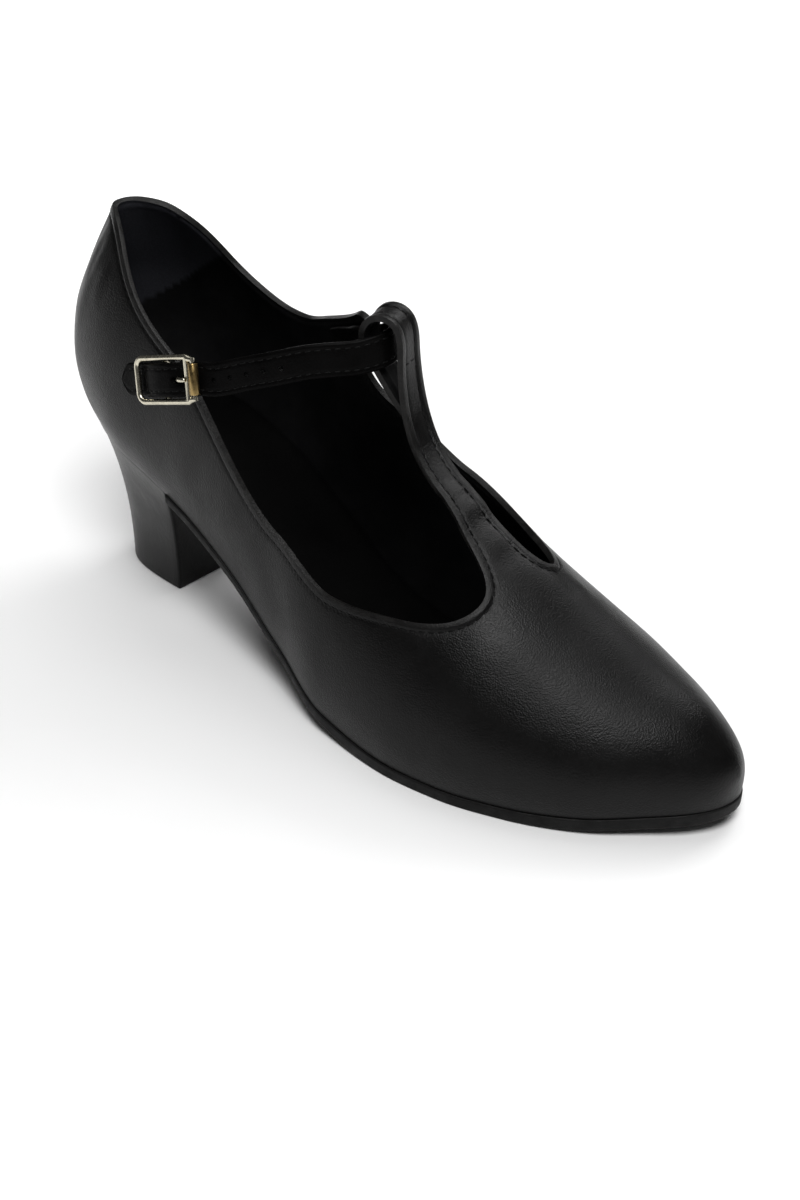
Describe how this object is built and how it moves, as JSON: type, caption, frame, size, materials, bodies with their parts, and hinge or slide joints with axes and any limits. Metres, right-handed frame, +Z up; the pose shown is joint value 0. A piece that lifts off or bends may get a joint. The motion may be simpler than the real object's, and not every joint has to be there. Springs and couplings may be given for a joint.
{
  "type": "t strap shoe",
  "caption": "Women's closed-toe T-strap shoe in black leather with a covered block heel, an open collar and a buckled ankle strap.",
  "frame": {"origin": "bottom centre of the bounding box, on the floor that the shoe stands on", "axes": "+Y to the toe, +X to the wearer's right, the shoe's outer side with the buckle, +Z up"},
  "size_m": [0.0786, 0.2466, 0.1212],
  "materials": {
    "black_leather": "semi-matte black leather with fine grain",
    "sole_leather": "black edge-dressed sole leather",
    "insole_lining": "smooth matte black lining",
    "plated_steel": "pale champagne plating"
  },
  "bodies": {
    "root": {"upper": "black_leather", "insole": "insole_lining", "outsole": "sole_leather", "heel": "black_leather", "ankle_strap": "black_leather", "buckle_frame": "plated_steel", "buckle_prong": "plated_steel", "buckle_roller": "plated_steel", "buckle_tab": "black_leather"}
  },
  "joints": []
}
